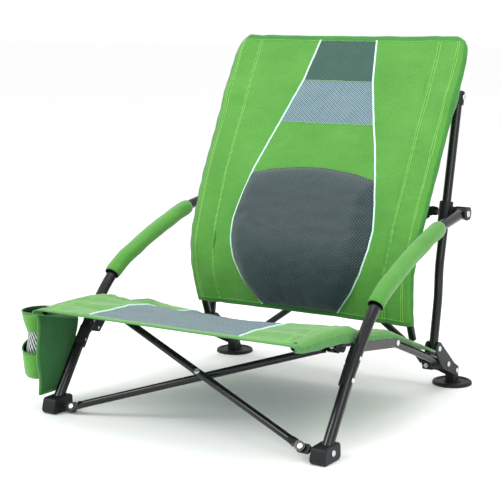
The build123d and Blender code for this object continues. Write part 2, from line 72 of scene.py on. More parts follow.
class Finish:
    """Node material with short calls for the parts used again and again."""

    def __init__(self, name, colour, rough=0.5, metal=0.0, specular=0.5):
        self.mat = bpy.data.materials.new(name)
        self.mat.use_nodes = True
        self.tree = self.mat.node_tree
        self.shader = self.tree.nodes["Principled BSDF"]
        self.shader.inputs["Base Color"].default_value = colour
        self.shader.inputs["Roughness"].default_value = rough
        self.shader.inputs["Metallic"].default_value = metal
        self.shader.inputs["Specular IOR Level"].default_value = specular

    def node(self, kind, **values):
        n = self.tree.nodes.new(kind)
        for key, value in values.items():
            if key in n.inputs:
                n.inputs[key].default_value = value
            else:
                setattr(n, key, value)
        return n

    def link(self, a, b):
        self.tree.links.new(a, b)

    def coords(self, which="Object", scale=(1, 1, 1), turn=(0, 0, 0)):
        tex = self.node("ShaderNodeTexCoord")
        mapping = self.node("ShaderNodeMapping")
        mapping.inputs["Scale"].default_value = scale
        mapping.inputs["Rotation"].default_value = turn
        self.link(tex.outputs[which], mapping.inputs["Vector"])
        return mapping.outputs["Vector"]

    def noise(self, vector, scale, detail=3.0, rough=0.55):
        n = self.node("ShaderNodeTexNoise", Scale=scale, Detail=detail, Roughness=rough)
        self.link(vector, n.inputs["Vector"])
        return n.outputs["Fac"]

    def wave(self, vector, scale, direction="X", distortion=0.0, profile="SIN"):
        n = self.node("ShaderNodeTexWave", Scale=scale, Distortion=distortion)
        n.bands_direction = direction
        n.wave_profile = profile
        self.link(vector, n.inputs["Vector"])
        return n.outputs["Fac"]

    def math(self, op, a, b=None, clamp=False):
        n = self.node("ShaderNodeMath", operation=op, use_clamp=clamp)
        for i, v in enumerate((a, b)):
            if v is None:
                continue
            if isinstance(v, (int, float)):
                n.inputs[i].default_value = v
            else:
                self.link(v, n.inputs[i])
        return n.outputs[0]

    def ramp(self, fac, stops):
        n = self.node("ShaderNodeValToRGB")
        while len(n.color_ramp.elements) < len(stops):
            n.color_ramp.elements.new(0.5)
        for e, (pos, col) in zip(n.color_ramp.elements, stops):
            e.position = pos
            e.color = col
        self.link(fac, n.inputs["Fac"])
        return n.outputs["Color"]

    def mix(self, fac, a, b):
        n = self.node("ShaderNodeMix", data_type="RGBA")
        for socket, v in ((n.inputs[0], fac), (n.inputs[6], a), (n.inputs[7], b)):
            if isinstance(v, (int, float, tuple)):
                socket.default_value = v
            else:
                self.link(v, socket)
        return n.outputs[2]

    def colour(self, socket):
        self.link(socket, self.shader.inputs["Base Color"])

    def rough(self, fac, low, high):
        n = self.node("ShaderNodeMapRange")
        n.inputs["To Min"].default_value = low
        n.inputs["To Max"].default_value = high
        self.link(fac, n.inputs["Value"])
        self.link(n.outputs[0], self.shader.inputs["Roughness"])

    def bump(self, height, strength=0.3, distance=0.001):
        n = self.node("ShaderNodeBump", Strength=strength, Distance=distance)
        self.link(height, n.inputs["Height"])
        self.link(n.outputs[0], self.shader.inputs["Normal"])


def plain_weave(f, vector, threads=700.0):
    """Over-and-under threads in a plain weave, about 0.45 mm apart."""
    across = f.wave(vector, threads / 6.2832 * 3.14, "X")
    down = f.wave(vector, threads / 6.2832 * 3.14, "Y")
    return f.math("MULTIPLY", across, down)


def cloth(name, base, dark, light, uv="UV", sheen=0.35):
    f = Finish(name, base, 0.72, 0.0, 0.3)
    v = f.coords(uv)
    weave = plain_weave(f, v)
    broad = f.noise(v, 7.0, 4.0)
    fine = f.noise(v, 160.0, 2.0)
    tone = f.math("ADD", f.math("MULTIPLY", broad, 0.6), f.math("MULTIPLY", fine, 0.4))
    shade = f.ramp(tone, [(0.30, dark), (0.5, base), (0.72, light)])
    shade = f.mix(f.math("MULTIPLY", weave, 0.22), shade, dark)
    f.colour(shade)
    f.rough(fine, 0.62, 0.82)
    f.bump(f.math("ADD", f.math("MULTIPLY", weave, 0.5), f.math("MULTIPLY", fine, 0.5)), 0.35, 0.0006)
    f.shader.inputs["Sheen Weight"].default_value = sheen
    f.shader.inputs["Sheen Roughness"].default_value = 0.45
    return f


def mesh_cloth(name, thread, hole, pitch, slant, uv="UV"):
    """Open diagonal mesh: pale threads with dark holes between."""
    f = Finish(name, thread, 0.6, 0.0, 0.3)
    v = f.coords(uv, (1, 1, 1), (0, 0, slant))
    a = f.wave(v, 0.314 / pitch, "X", 0.0)
    b = f.wave(v, 0.314 / pitch * 0.62, "Y", 0.0)
    rows = f.math("MULTIPLY", a, f.math("ADD", f.math("MULTIPLY", b, 0.45), 0.55))
    broad = f.noise(v, 14.0, 3.0)
    shade = f.ramp(rows, [(0.22, hole), (0.5, thread)])
    f.colour(f.mix(f.math("MULTIPLY", broad, 0.25), shade, hole))
    f.bump(rows, 0.8, 0.0012)
    f.shader.inputs["Sheen Weight"].default_value = 0.2
    return f


leaf = cloth("leaf_polyester", LEAF, linear(64, 129, 43), linear(88, 154, 60))
leaf_hem = cloth("leaf_hem_fold", LEAF_DARK, linear(42, 110, 38), linear(66, 140, 54))
# Pocket panel cloth, darker green than the rest: painted shade for the panel's inner face hanging in shadow under the
# seat
leaf_painted_shade = cloth("leaf_pocket_painted_shade", linear(36, 104, 50), linear(28, 90, 44), linear(44, 118, 54), "Object")
leaf_object = cloth("leaf_polyester_sleeve", LEAF, linear(64, 129, 43), linear(88, 154, 60), "Object")
SLANT = math.radians(38)
grey_mesh = mesh_cloth("grey_mesh", linear(146, 176, 186), linear(34, 58, 68), 0.0042, SLANT)
green_mesh = mesh_cloth("green_mesh", linear(62, 104, 90), linear(20, 54, 48), 0.0042, SLANT)
seat_mesh = mesh_cloth("seat_mesh", linear(124, 152, 160), linear(26, 48, 58), 0.0050, SLANT)
net = mesh_cloth("pocket_net", linear(205, 212, 214), linear(8, 10, 11), 0.0075, math.radians(35))

knit = Finish("charcoal_knit", linear(56, 76, 80), 0.55, 0.0, 0.4)
kv = knit.coords("Object", (1, 1, 1))
k1 = knit.wave(knit.coords("Object", (1, 0, 1), (0, math.radians(42), 0)), 72.0, "X")
k2 = knit.wave(knit.coords("Object", (1, 0, 1), (0, math.radians(-48), 0)), 72.0, "X")
kk = knit.math("MULTIPLY", k1, k2)
kn = knit.noise(kv, 9.0, 4.0)
knit_dots = knit.ramp(kk, [(0.12, linear(10, 25, 29)), (0.6, linear(54, 88, 93))])
knit.colour(knit.mix(knit.math("MULTIPLY", kn, 0.4), knit_dots, linear(22, 45, 50)))
knit.rough(kk, 0.42, 0.7)
knit.bump(kk, 0.7, 0.0011)
knit.shader.inputs["Sheen Weight"].default_value = 0.25

piping = Finish("pale_piping", PALE_CORD, 0.5, 0.0, 0.4)
pv = piping.coords("Object")
piping_tones = [(0.3, linear(178, 222, 208)), (0.7, linear(226, 247, 240))]
piping.colour(piping.ramp(piping.noise(pv, 400.0, 2.0), piping_tones))
piping.bump(piping.noise(pv, 900.0, 2.0), 0.4, 0.0004)

thread = Finish("light_thread", STITCH, 0.55, 0.0, 0.4)
thread_tones = [(0.3, linear(120, 196, 84)), (0.7, linear(176, 228, 126))]
thread.colour(thread.ramp(thread.noise(thread.coords("Object"), 500.0, 1.0), thread_tones))

lining = Finish("black_lining", linear(16, 17, 18), 0.7, 0.0, 0.3)
lining.bump(lining.noise(lining.coords("Object"), 600.0, 2.0), 0.4, 0.0005)

enamel = Finish("black_powder_coat", (0.003, 0.0034, 0.0045, 1), 0.2, 0.0, 0.28)
ev = enamel.coords("Object")
enamel.shader.inputs["Coat Weight"].default_value = 0.25
enamel.shader.inputs["Coat Roughness"].default_value = 0.12
enamel.rough(enamel.noise(ev, 30.0, 5.0), 0.18, 0.36)
enamel.bump(enamel.noise(ev, 900.0, 3.0), 0.08, 0.0003)
enamel_tones = [(0.35, (0.0022, 0.0026, 0.0036, 1)), (0.75, (0.005, 0.0058, 0.0072, 1))]
enamel.colour(enamel.ramp(enamel.noise(ev, 18.0, 3.0), enamel_tones))

plastic = Finish("black_moulding", (0.005, 0.0056, 0.0068, 1), 0.48, 0.0, 0.3)
mv = plastic.coords("Object")
plastic.rough(plastic.noise(mv, 60.0, 4.0), 0.38, 0.6)
plastic.bump(plastic.noise(mv, 1400.0, 3.0), 0.25, 0.0003)
plastic_tones = [(0.3, (0.004, 0.0046, 0.0058, 1)), (0.75, (0.0095, 0.0105, 0.0125, 1))]
plastic.colour(plastic.ramp(plastic.noise(mv, 25.0, 4.0), plastic_tones))

steel = Finish("bright_rivet", linear(206, 210, 212), 0.28, 1.0, 0.5)
sv = steel.coords("Object")
steel.rough(steel.noise(sv, 500.0, 3.0), 0.2, 0.42)
steel.bump(steel.noise(sv, 1500.0, 2.0), 0.15, 0.0002)

rubber = Finish("foot_moulding", (0.006, 0.0066, 0.0078, 1), 0.55, 0.0, 0.3)
rv = rubber.coords("Object")
rubber.rough(rubber.noise(rv, 80.0, 4.0), 0.45, 0.7)
rubber.bump(rubber.noise(rv, 1100.0, 3.0), 0.3, 0.0003)

tubes = ("rear_post", "front_leg", "seat_rail", "back_tube", "front_brace", "rear_brace", "side_link",
         "front_swivel", "rear_swivel")
for name, ob in nodes.items():
    if "rivet" in name or "bolt" in name or "pins" in name:
        mat = steel
    elif name.startswith("rear_foot"):
        mat = rubber
    elif name.startswith(tubes) and "plugs" not in name:
        mat = enamel
    else:
        mat = plastic
    ob.data.materials.clear()
    ob.data.materials.append(mat.mat)


# ------------------------------------------------------------------ shape helpers
def soft_line(points, step=0.004, rounds=60):
    """Even points along a bent line, with its corners worn round."""
    pts = np.array(points, float)
    lengths = np.r_[0, np.cumsum(np.linalg.norm(np.diff(pts, axis=0), axis=1))]
    count = int(lengths[-1] / step) + 1
    s = np.linspace(0, lengths[-1], count)
    out = np.column_stack([np.interp(s, lengths, pts[:, i]) for i in range(pts.shape[1])])
    for _ in range(rounds):
        out[1:-1] = (out[:-2] + 2 * out[1:-1] + out[2:]) / 4
    return out


class Rail:
    """Place and outward direction along a side-view line, by its share 0-1."""

    def __init__(self, points, rounds=60):
        self.p = soft_line(points, 0.004, rounds)
        d = np.gradient(self.p, axis=0)
        self.t = d / np.linalg.norm(d, axis=1)[:, None]
        self.s = np.r_[0, np.cumsum(np.linalg.norm(np.diff(self.p, axis=0), axis=1))]
        self.length = self.s[-1]

    def at(self, share):
        s = share * self.length
        p = np.array([np.interp(s, self.s, self.p[:, i]) for i in (0, 1)])
        t = np.array([np.interp(s, self.s, self.t[:, i]) for i in (0, 1)])
        t = t / np.linalg.norm(t)
        if s > self.length:
            p = self.p[-1] + self.t[-1] * (s - self.length)
        if s < 0:
            p = self.p[0] + self.t[0] * s
        return p, t, np.array([-t[1], t[0]])

    def share_of_z(self, z):
        return float(np.interp(z, self.p[:, 1], self.s)) / self.length


def finish_mesh(bm, name, mats, smooth=True):
    me = bpy.data.meshes.new(name)
    bm.to_mesh(me)
    bm.free()
    for m in mats:
        me.materials.append(m.mat)
    for p in me.polygons:
        p.use_smooth = smooth
    ob = bpy.data.objects.new(name, me)
    bpy.context.scene.collection.objects.link(ob)
    return ob


def ripple(p, scale, seed):
    return noise.noise(Vector((p[0] * scale + seed, p[1] * scale, p[2] * scale)))


def cloth_grid(name, columns, rows, place, mats, paint, thickness, uvs):
    """Sheet from a grid: place(i, j) gives each point, paint(i, j) each square's finish."""
    bm = bmesh.new()
    nx, ny = len(columns), len(rows)
    bmesh.ops.create_grid(bm, x_segments=nx - 1, y_segments=ny - 1, size=1.0)
    bm.verts.ensure_lookup_table()
    layer = bm.loops.layers.uv.new("UVMap")
    order = sorted(bm.verts, key=lambda v: (round(v.co.y, 5), round(v.co.x, 5)))
    spot = {}
    for k, v in enumerate(order):
        spot[v] = (k % nx, k // nx)
    for v, (i, j) in spot.items():
        v.co = place(columns[i], rows[j])
    for f in bm.faces:
        i = min(spot[v][0] for v in f.verts)
        j = min(spot[v][1] for v in f.verts)
        f.material_index = paint((columns[i] + columns[i + 1]) / 2, (rows[j] + rows[j + 1]) / 2)
        for loop in f.loops:
            loop[layer].uv = uvs(columns[spot[loop.vert][0]], rows[spot[loop.vert][1]])
    bm.normal_update()
    ob = finish_mesh(bm, name, mats)
    solid = ob.modifiers.new("thickness", "SOLIDIFY")
    solid.thickness = thickness
    solid.offset = 0.0
    return ob


def tube_along(name, points, radius, mat, sides=10, closed=False):
    """Round cord along given points, as a bevelled line made into a mesh."""
    curve = bpy.data.curves.new(name, "CURVE")
    curve.dimensions = "3D"
    curve.bevel_depth = radius
    curve.bevel_resolution = max(1, sides // 4)
    curve.use_fill_caps = True
    spline = curve.splines.new("POLY")
    spline.points.add(len(points) - 1)
    for q, p in zip(spline.points, points):
        q.co = (*p, 1.0)
    spline.use_cyclic_u = closed
    holder = bpy.data.objects.new(name + "_line", curve)
    bpy.context.scene.collection.objects.link(holder)
    bpy.context.view_layer.update()
    me = bpy.data.meshes.new_from_object(holder)
    bpy.data.objects.remove(holder)
    me.materials.clear()
    me.materials.append(mat.mat)
    for p in me.polygons:
        p.use_smooth = True
    ob = bpy.data.objects.new(name, me)
    bpy.context.scene.collection.objects.link(ob)
    return ob


def join(name, pieces):
    """One object from several, keeping each one's finish."""
    with bpy.context.temp_override(active_object=pieces[0], selected_editable_objects=pieces):
        bpy.ops.object.join()
    pieces[0].name = name
    return pieces[0]


def stitches(name, points, pitch=0.0042, length=0.0028, radius=0.00042):
    """Row of short sewn stitches along points already on the cloth."""
    pts = np.array(points, float)
    s = np.r_[0, np.cumsum(np.linalg.norm(np.diff(pts, axis=0), axis=1))]
    bm = bmesh.new()
    count = int(s[-1] / pitch)
    for k in range(count):
        a = (k + 0.15) * pitch
        b = a + length
        pa = Vector([np.interp(a, s, pts[:, i]) for i in range(3)])
        pb = Vector([np.interp(b, s, pts[:, i]) for i in range(3)])
        made = bmesh.ops.create_cube(bm, size=1.0)
        run = (pb - pa)
        size = Vector((radius * 2.2, radius * 1.6, run.length))
        turn = run.to_track_quat("Z", "Y").to_matrix().to_4x4()
        for v in made["verts"]:
            v.co = turn @ Vector((v.co.x * size.x, v.co.y * size.y, v.co.z * size.z)) + (pa + pb) / 2
    return finish_mesh(bm, name, [thread], False)


# ------------------------------------------------------------------ back
back = Rail(BACK_LINE, 90)
HALF_Z = [0.160, 0.20, 0.245, 0.28, 0.32, 0.40, 0.46, 0.52, 0.65, 0.70, 0.728, 0.740, 0.748]
HALF_X = [0.268, 0.271, 0.274, 0.276, 0.279, 0.283, 0.285, 0.286, 0.289, 0.2895, 0.284, 0.276, 0.262]
PIPE_Z = [0.160, 0.183, 0.22, 0.264, 0.31, 0.35, 0.40, 0.45, 0.513, 0.56, 0.65, 0.748]
PIPE_X = [0.086, 0.102, 0.132, 0.156, 0.170, 0.173, 0.164, 0.152, 0.133, 0.116, 0.086, 0.068]
FRONT = 0.0100


def back_half(z):
    return float(np.interp(z, HALF_Z, HALF_X))


def back_pipe(z):
    return float(np.interp(z, PIPE_Z, PIPE_X))


def back_point(x, share, lift):
    """Point of the back at x across, share up the line, standing lift in front of the tubes' axis."""
    p, t, n = back.at(share)
    return Vector((x, p[0] + n[0] * lift, p[1] + n[1] * lift))


def back_section(c, share):
    """x and lift of the back's cross-section: c from -3 to 3, edges folded round the tubes."""
    p, t, n = back.at(share)
    z = p[1]
    side = -1 if c < 0 else 1
    a = abs(c)
    half = back_half(z)
    pipe = back_pipe(z)
    tube_in = min(BACK_X, half - 0.012)
    if a <= 1:
        x = pipe * a
        lift = FRONT
    elif a <= 2:
        x = pipe + (tube_in - pipe) * (a - 1)
        lift = FRONT
    else:
        q = a - 2
        outline = [
            (tube_in, FRONT),
            (tube_in + (half - tube_in) * 0.45, FRONT * 0.93),
            (half - 0.002, 0.004),
            (half, 0.0),
            (half - 0.003, -0.005),
            (tube_in, -FRONT),
            (tube_in - 0.018, -0.0075),
            (tube_in - 0.034, 0.002),
            (tube_in - 0.046, FRONT - 0.0022),
        ]
        k = q * (len(outline) - 1)
        i = min(int(k), len(outline) - 2)
        f = k - i
        x = outline[i][0] * (1 - f) + outline[i + 1][0] * f
        lift = outline[i][1] * (1 - f) + outline[i + 1][1] * f
    return side * x, lift, z, a


def back_place(c, share):
    x, lift, z, a = back_section(c, share)
    if a <= 2.1:
        slack = 0.0045 * (1 - (x / 0.27) ** 2)
        folds = 0.0016 * ripple((x, z * 0.35, 0), 24, 3.1) + 0.0012 * ripple((x * 0.5, z, 0), 60, 7.7)
        pull = 0.0022 * ripple((x * 0.6 + z * 0.5, z * 0.3, 0), 34, 11.0) * min(1.0, max(0.0, (a - 1) * 2))
        seam = math.exp(-((abs(x) - (back_half(min(z, 0.70)) - 0.060)) / 0.010) ** 2)
        pucker = 0.0011 * math.sin(z * 420 + 3 * ripple((x, z, 0), 20, 2.0)) * seam
        bow = 0.0030 * ripple((x * 0.9 + z * 0.25, z * 0.8 - x * 0.4, 0), 17, 21.0) * min(1.0, max(0.0, (a - 1) * 1.5))
        grip = math.exp(-((z - 0.6185) / 0.026) ** 2 - ((abs(x) - BACK_X) / 0.016) ** 2)
        lift += 0.0052 * grip
        lift += -slack + folds + pull + bow + pucker - 0.0022 * seam
    elif a < 2.7:
        lift += 0.0045 * math.exp(-((z - 0.6185) / 0.026) ** 2) * (1 if lift > 0 else -1)
        x += math.copysign(0.0030 * ripple((z, 0.0, a * 0.1), 26, 5.0 * float(np.sign(c))), c)
    return back_point(x, share, lift)


def span(a, b, n):
    return [a + (b - a) * k / n for k in range(n)]


half_cols = span(0, 1, 12) + span(1, 2, 14) + span(2, 3, 24) + [3.0]
columns = [-c for c in reversed(half_cols[1:])] + half_cols
zs = [0.161, 0.1705, 0.558, 0.649, 0.7365, 0.746]
steps = [3, 66, 16, 15, 3]
rows = []
for a, b, n in zip(zs[:-1], zs[1:], steps):
    sa, sb = back.share_of_z(a), back.share_of_z(b)
    rows += span(sa, sb, n)
rows.append(back.share_of_z(zs[-1]))
marks = [back.share_of_z(z) for z in zs]


def back_paint(c, share):
    a = abs(c)
    if share > marks[4] or share < marks[1]:
        return 1
    if a < 1 and share > marks[3]:
        return 3
    if a < 1 and share > marks[2]:
        return 2
    return 1 if 2.2 < a < 2.42 else 0


def back_uv(c, share):
    x, lift, z, a = back_section(c, share)
    run = abs(x) if a <= 2 else BACK_X + (a - 2) * 0.09
    return (math.copysign(run, c if c else 1), share * back.length)


CLOTH = 0.0016
back_cloth = cloth_grid("back_fabric_cloth", columns, rows, back_place, [leaf, leaf_hem, grey_mesh, green_mesh],
                        back_paint, CLOTH, back_uv)

cords = []
for side in (-1, 1):
    pts = []
    for share in np.linspace(marks[1], marks[4], 90):
        q = back_place(side * 1.0, share)
        p, t, n = back.at(share)
        pts.append((q.x, q.y + n[0] * 0.0012, q.z + n[1] * 0.0012))
    cords.append(tube_along(f"back_piping_{side}", pts, 0.0021, piping, 8))
back_piping = join("back_piping", cords)


def sewn(c_of, lo, hi, name):
    pts = []
    for share in np.linspace(lo, hi, 160):
        q = back_place(c_of(share), share)
        p, t, n = back.at(share)
        pts.append((q.x, q.y + n[0] * 0.0015, q.z + n[1] * 0.0015))
    return stitches(name, pts)


rows_sewn = []
for side in (-1, 1):
    for inset in (0.018, 0.062):
        def column(share, inset=inset, side=side):
            z = back.at(share)[0][1]
            half = back_half(min(z, 0.70))
            pipe = back_pipe(z)
            tube_in = min(BACK_X, back_half(z) - 0.012)
            x = half - inset
            if x > tube_in:
                return side * (2 + 0.125 * min(1, (x - tube_in) / (half - tube_in) / 0.45))
            return side * (1 + (x - pipe) / (tube_in - pipe))
        for shift in (0.0, 0.0035):
            def line(share, column=column, shift=shift, side=side):
                return column(share) - side * shift / 0.11

            rows_sewn.append(sewn(line, marks[1], marks[4], f"seam_{side}_{inset}_{shift}"))
back_seams = join("back_seams", rows_sewn)

cross = []
for z in (0.6485, 0.5585, 0.7352, 0.1722):
    share = back.share_of_z(z)
    wide = 1.0 if z in (0.6485, 0.5585) else 2.0
    pts = []
    for c in np.linspace(-wide, wide, 200):
        q = back_place(c, share)
        p, t, n = back.at(share)
        pts.append((q.x, q.y + n[0] * 0.0015, q.z + n[1] * 0.0015))
    cross.append(stitches(f"cross_{z}", pts))
back_cross_seams = join("back_cross_seams", cross)

# ------------------------------------------------------------------ lumbar pad
PAD_TOP = 0.463
PAD_LOW = 0.1735


def pad_top(c):
    return PAD_TOP - 0.020 * c * c


def pad_blank():
    """Slack closed pad, thin at its rim, ready to swell."""
    bm = bmesh.new()
    n = 56
    bmesh.ops.create_grid(bm, x_segments=n, y_segments=n, size=1.0)
    for v in bm.verts:
        c = v.co.x
        q = (v.co.y + 1) / 2
        z = PAD_LOW + (pad_top(c) - PAD_LOW) * q
        share = back.share_of_z(z)
        x = back_pipe(z) * c * 0.994
        rim = (1 - abs(c) ** 6) * (1 - abs(2 * q - 1) ** 8)
        p, t, n = back.at(share)
        out = 0.0034 + 0.0175 * max(0.0, rim) ** 0.55
        v.co = back_place(x / back_pipe(z), share) + Vector((0, n[0], n[1])) * out
    front = list(bm.faces)
    made = bmesh.ops.extrude_face_region(bm, geom=front)
    moved = [g for g in made["geom"] if isinstance(g, bmesh.types.BMVert)]
    for v in moved:
        share = back.share_of_z(v.co.z)
        p, t, n = back.at(share)
        v.co = back_place(v.co.x / back_pipe(v.co.z), share) + Vector((0, n[0], n[1])) * 0.0009
    bmesh.ops.recalc_face_normals(bm, faces=bm.faces)
    return finish_mesh(bm, "lumbar_knit_pad", [knit])


def swell(ob, pressure, cap, held, frames=20):
    """Lets a slack pad swell under pressure; held(point) is 0 at its sewn rim and 1 inside."""
    start = np.zeros(len(ob.data.vertices) * 3)
    ob.data.vertices.foreach_get("co", start)
    start = start.reshape(-1, 3)
    sim = ob.modifiers.new("swell", "CLOTH")
    s = sim.settings
    s.use_pressure = True
    s.uniform_pressure_force = pressure
    s.effector_weights.gravity = 0
    s.quality = 5
    scene = bpy.context.scene
    scene.frame_start = 1
    scene.frame_end = frames
    sim.point_cache.frame_start = 1
    sim.point_cache.frame_end = frames
    for f in range(1, frames + 1):
        scene.frame_set(f)
    graph = bpy.context.evaluated_depsgraph_get()
    shaped = ob.evaluated_get(graph).to_mesh()
    co = np.zeros(len(shaped.vertices) * 3)
    shaped.vertices.foreach_get("co", co)
    co = co.reshape(-1, 3)
    ob.evaluated_get(graph).to_mesh_clear()
    ob.modifiers.remove(sim)
    scene.frame_set(1)
    move = co - start
    far = np.linalg.norm(move, axis=1)
    scale = np.where(far > cap, cap / np.maximum(far, 1e-9), 1.0)
    free = np.array([held(p) for p in start])
    co = start + move * (scale * free)[:, None]
    ob.data.vertices.foreach_set("co", co.ravel())
    ob.data.update()
    for p in ob.data.polygons:
        p.use_smooth = True
    return ob


def pad_free(point):
    """How freely a point of the pad may move, by its distance from the sewn rim."""
    x, y, z = point
    pipe = back_pipe(z)
    inside = min((1 - min(1.0, abs(x) / pipe)) * pipe, z - PAD_LOW, pad_top(x / pipe) - z)
    return min(1.0, max(0.0, inside / 0.022))


pad = pad_blank()
swell(pad, 4.0, 0.006, pad_free)
sub = pad.modifiers.new("round", "SUBSURF")
sub.levels = sub.render_levels = 1

# ------------------------------------------------------------------ seat
seat_line = Rail(RAIL_LINE, 40)
SEAT_PIPE = 0.170
EDGE = POST_X + 0.0125


def seat_rise(y):
    """How far the cloth's edge stands above the rail's axis."""
    along = [-0.083, -0.02, 0.06, 0.125, 0.165, 0.21, 0.28, 0.33, 0.5]
    rise = [0.003, 0.012, 0.021, 0.027, 0.019, 0.0165, 0.022, 0.0165, 0.0165]
    return float(np.interp(y, along, rise))


def seat_drop(y):
    """Sag of the middle below the edges."""
    return float(np.interp(y, [-0.083, 0.0, 0.12, 0.3, 0.45, 0.5], [0.0005, 0.006, 0.016, 0.022, 0.014, 0.010]))


def seat_hem(y):
    """Height of the side flap's lower edge from the rail's axis."""
    along = [-0.083, -0.05, -0.02, 0.03, 0.1, 0.2, 0.285, 0.335, 0.44, 0.5]
    low = [-0.007, -0.010, -0.012, -0.008, -0.004, -0.003, 0.0, 0.010, 0.0115, 0.0125]
    return float(np.interp(y, along, low))


def seat_section(c, y):
    side = -1 if c < 0 else 1
    a = abs(c)
    rise = seat_rise(y)
    drop = seat_drop(y)
    if a <= 1:
        x = SEAT_PIPE * a
        lift = rise - drop * (1 - (x / EDGE) ** 2)
    elif a <= 2:
        x = SEAT_PIPE + (POST_X - 0.004 - SEAT_PIPE) * (a - 1)
        lift = rise - drop * (1 - (x / EDGE) ** 2)
    else:
        q = a - 2
        low = min(seat_hem(y) + 0.003 * ripple((y, 0, side), 24, 2.0), rise - 0.004)
        tall = rise - low
        outline = [(POST_X - 0.004, rise - drop * 0.03), (POST_X + 0.006, rise - 0.0005), (EDGE - 0.001, rise - tall * 0.18),
                   (EDGE + 0.001, rise - tall * 0.42), (EDGE + 0.0018, rise - tall * 0.72), (EDGE + 0.0006, low)]
        k = q * (len(outline) - 1)
        i = min(int(k), len(outline) - 2)
        f = k - i
        x = outline[i][0] * (1 - f) + outline[i + 1][0] * f
        lift = outline[i][1] * (1 - f) + outline[i + 1][1] * f
    return side * x, lift, a


def seat_place(c, share):
    p, t, n = seat_line.at(share)
    x, lift, a = seat_section(c, p[0])
    inner = min(1.0, share / 0.06) * min(1.0, (1 - share) / 0.05)
    if a < 2:
        lift += inner * (0.0036 * ripple((x * 0.4, p[0], 0), 26, 1.3) * (1.6 if a > 1 else 0.5) + 0.0016 * ripple((x, p[0] * 0.6, 0), 70, 9.0))
    elif a > 2.35:
        x += math.copysign(0.0022 * ripple((p[0], a, 0), 45, 4.0 + np.sign(c)), c)
    return Vector((x, p[0] + n[0] * lift, p[1] + n[1] * lift))


seat_half = span(0, 1, 16) + span(1, 2, 12) + span(2, 3, 12) + [3.0]
seat_cols = [-c for c in reversed(seat_half[1:])] + seat_half
front_hem, rear_hem = 0.030, 0.965
seat_rows = span(0, front_hem, 4) + span(front_hem, rear_hem, 90) + span(rear_hem, 1, 4) + [1.0]


def seat_paint(c, share):
    if share < front_hem or share > rear_hem:
        return 1
    if abs(c) < 1:
        return 2
    return 1 if abs(c) > 2.6 else 0


def seat_uv(c, share):
    a = abs(c)
    run = SEAT_PIPE * min(a, 1) + 0.11 * min(1, max(0, a - 1)) + 0.05 * max(0, a - 2)
    return (math.copysign(run, c if c else 1), share * seat_line.length)


seat_cloth = cloth_grid("seat_fabric_cloth", seat_cols, seat_rows, seat_place, [leaf, leaf_hem, seat_mesh],
                        seat_paint, CLOTH, seat_uv)

cords = []
for side in (-1, 1):
    pts = []
    for share in np.linspace(front_hem, rear_hem, 110):
        q = seat_place(side * 1.0, share)
        pts.append((q.x, q.y, q.z + 0.0014))
    cords.append(tube_along(f"seat_piping_{side}", pts, 0.0020, piping, 8))
seat_piping = join("seat_piping", cords)

ABOVE = Vector((0, 0, 0.0011))
rows_sewn = []
for share in (front_hem, front_hem - 0.006, rear_hem):
    hem = [tuple(seat_place(c, share) + ABOVE) for c in np.linspace(-2, 2, 260)]
    rows_sewn.append(stitches(f"seat_hem_{share}", hem))
for side in (-1, 1):
    for c in (1.82, 1.87):
        flank = [tuple(seat_place(side * c, s) + ABOVE) for s in np.linspace(front_hem, rear_hem, 200)]
        rows_sewn.append(stitches(f"seat_side_{side}_{c}", flank))
seat_seams = join("seat_seams", rows_sewn)

# ------------------------------------------------------------------ arm sleeves
arm = Rail(ARM_LINE, 120)


def near_axis(point, side):
    """Closest point of the arm's axis."""
    k = int(np.argmin((arm.p[:, 0] - point.y) ** 2 + (arm.p[:, 1] - point.z) ** 2))
    return Vector((side * LEG_X, arm.p[k, 0], arm.p[k, 1]))


def sleeve(side):
    """Foam sleeve in cloth, open at its lower end."""
    bm = bmesh.new()
    lo = float(np.interp(0.191, arm.p[:, 0], arm.s)) / arm.length
    hi = float(np.interp(0.474, arm.p[:, 0], arm.s)) / arm.length
    rings = 74
    around = 28
    made = bmesh.ops.create_cone(bm, cap_ends=False, segments=around, radius1=1, radius2=1, depth=1)
    vertical = [e for e in bm.edges if abs(e.verts[0].co.z - e.verts[1].co.z) > 0.5]
    bmesh.ops.subdivide_edges(bm, edges=vertical, cuts=rings - 2, use_grid_fill=True)
    for v in bm.verts:
        k = v.co.z + 0.5
        share = lo + (hi - lo) * k
        p, t, n = arm.at(share)
        angle = math.atan2(v.co.y, v.co.x)
        end = min(1.0, min(k, 1 - k) / 0.035)
        radius = 0.0156 + 0.0014 * math.sqrt(end)
        radius += 0.0013 * ripple((math.cos(angle) * 0.3, k * 1.6, math.sin(angle) * 0.3), 5, 1 + side) * end
        x = math.cos(angle) * radius
        w = math.sin(angle) * radius
        v.co = Vector((side * (LEG_X + x), p[0] + n[0] * w, p[1] + n[1] * w))
    bmesh.ops.recalc_face_normals(bm, faces=bm.faces)
    turn_out = sum(f.normal.dot(f.calc_center_median() - near_axis(f.calc_center_median(), side)) for f in bm.faces)
    if turn_out < 0:
        bmesh.ops.reverse_faces(bm, faces=bm.faces)
    ob = finish_mesh(bm, "arm_sleeve_cloth_" + ("r" if side > 0 else "l"), [leaf_object, lining])
    solid = ob.modifiers.new("wall", "SOLIDIFY")
    solid.thickness = 0.0038
    solid.offset = -1
    solid.material_offset_rim = 1
    solid.material_offset = 1
    return ob


sleeves = {side: sleeve(side) for side in (-1, 1)}

# ------------------------------------------------------------------ side pocket
PANEL_X = -0.3352
CUP = Vector((-0.372, 0.026, 0.0))


def panel_place(u, v):
    """Hanging panel: u rearward 0-1, v downward 0-1."""
    top_z, low_z = 0.203, 0.037
    front = -0.024 + 0.003 * math.sin(v * 9)
    rear = 0.100 - 0.066 * v ** 1.4
    y = front + (rear - front) * u
    z = top_z - 0.030 * u * (1 - v) + (low_z - top_z) * v
    x = PANEL_X + 0.0012 * ripple((y, z, 0), 30, 2.2)
    return Vector((x, y, z))


